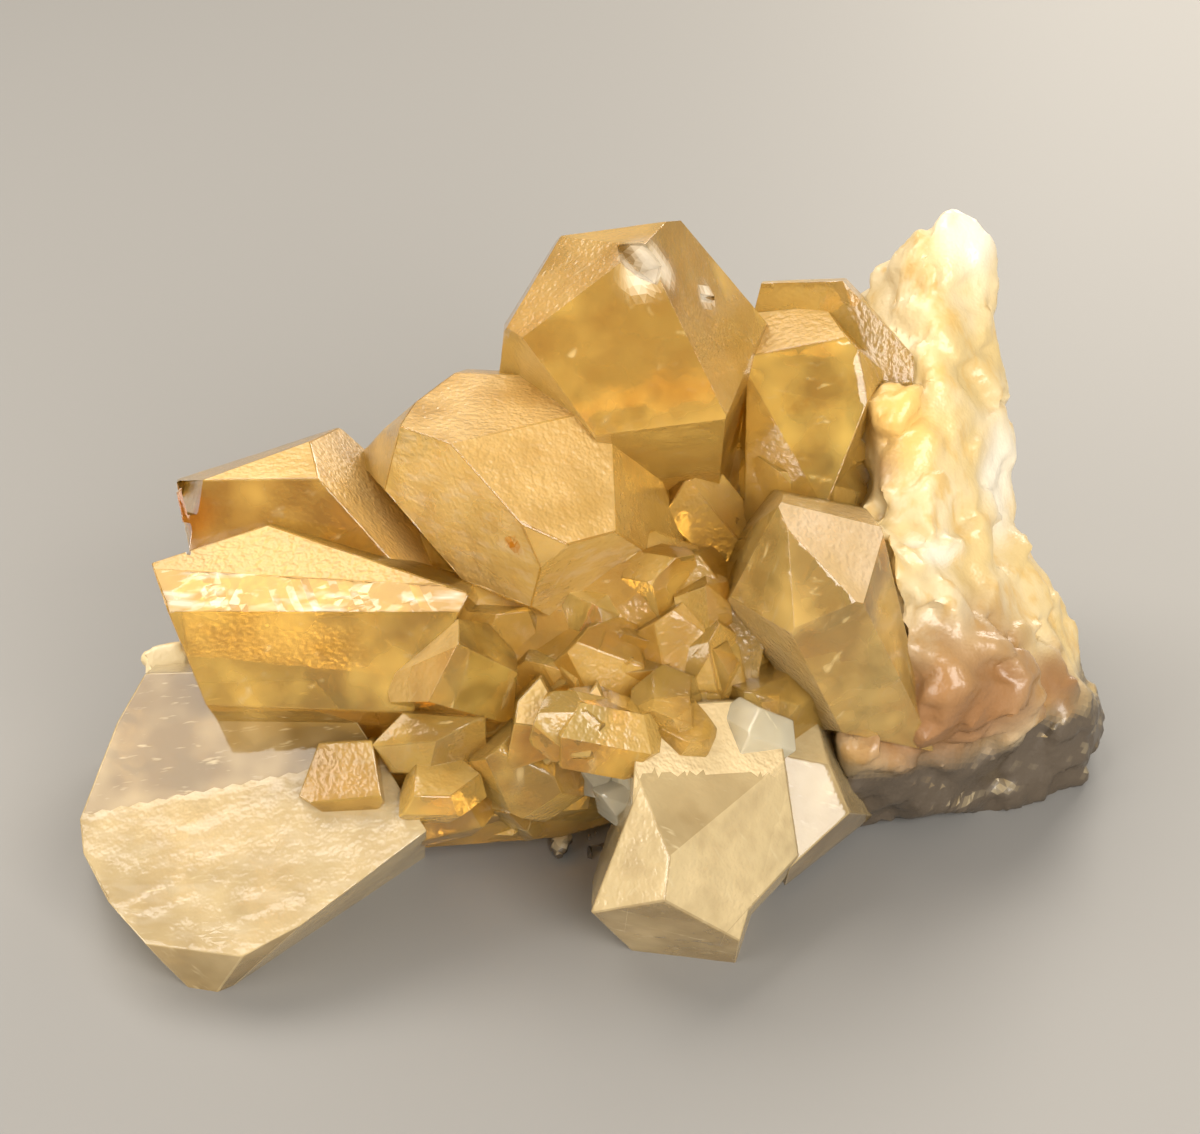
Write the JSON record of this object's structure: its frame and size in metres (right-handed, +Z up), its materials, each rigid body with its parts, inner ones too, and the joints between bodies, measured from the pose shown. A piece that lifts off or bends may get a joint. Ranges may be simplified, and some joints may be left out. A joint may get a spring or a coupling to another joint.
{
  "type": "quartz cluster",
  "caption": "Cluster of golden quartz crystals grown together on a broken milky base, standing loose on its own underside.",
  "frame": {"origin": "middle of the underside, on the surface it stands on", "axes": "+X to the right along the longest side, +Z up, the show side with the large crystal faces looks towards -Y"},
  "size_m": [0.1478, 0.0956, 0.0856],
  "materials": {
    "quartz": "clear golden crystal faces, some frosted, on rough milky rock"
  },
  "bodies": {
    "root": {"quartz_cluster": "quartz"}
  },
  "joints": []
}
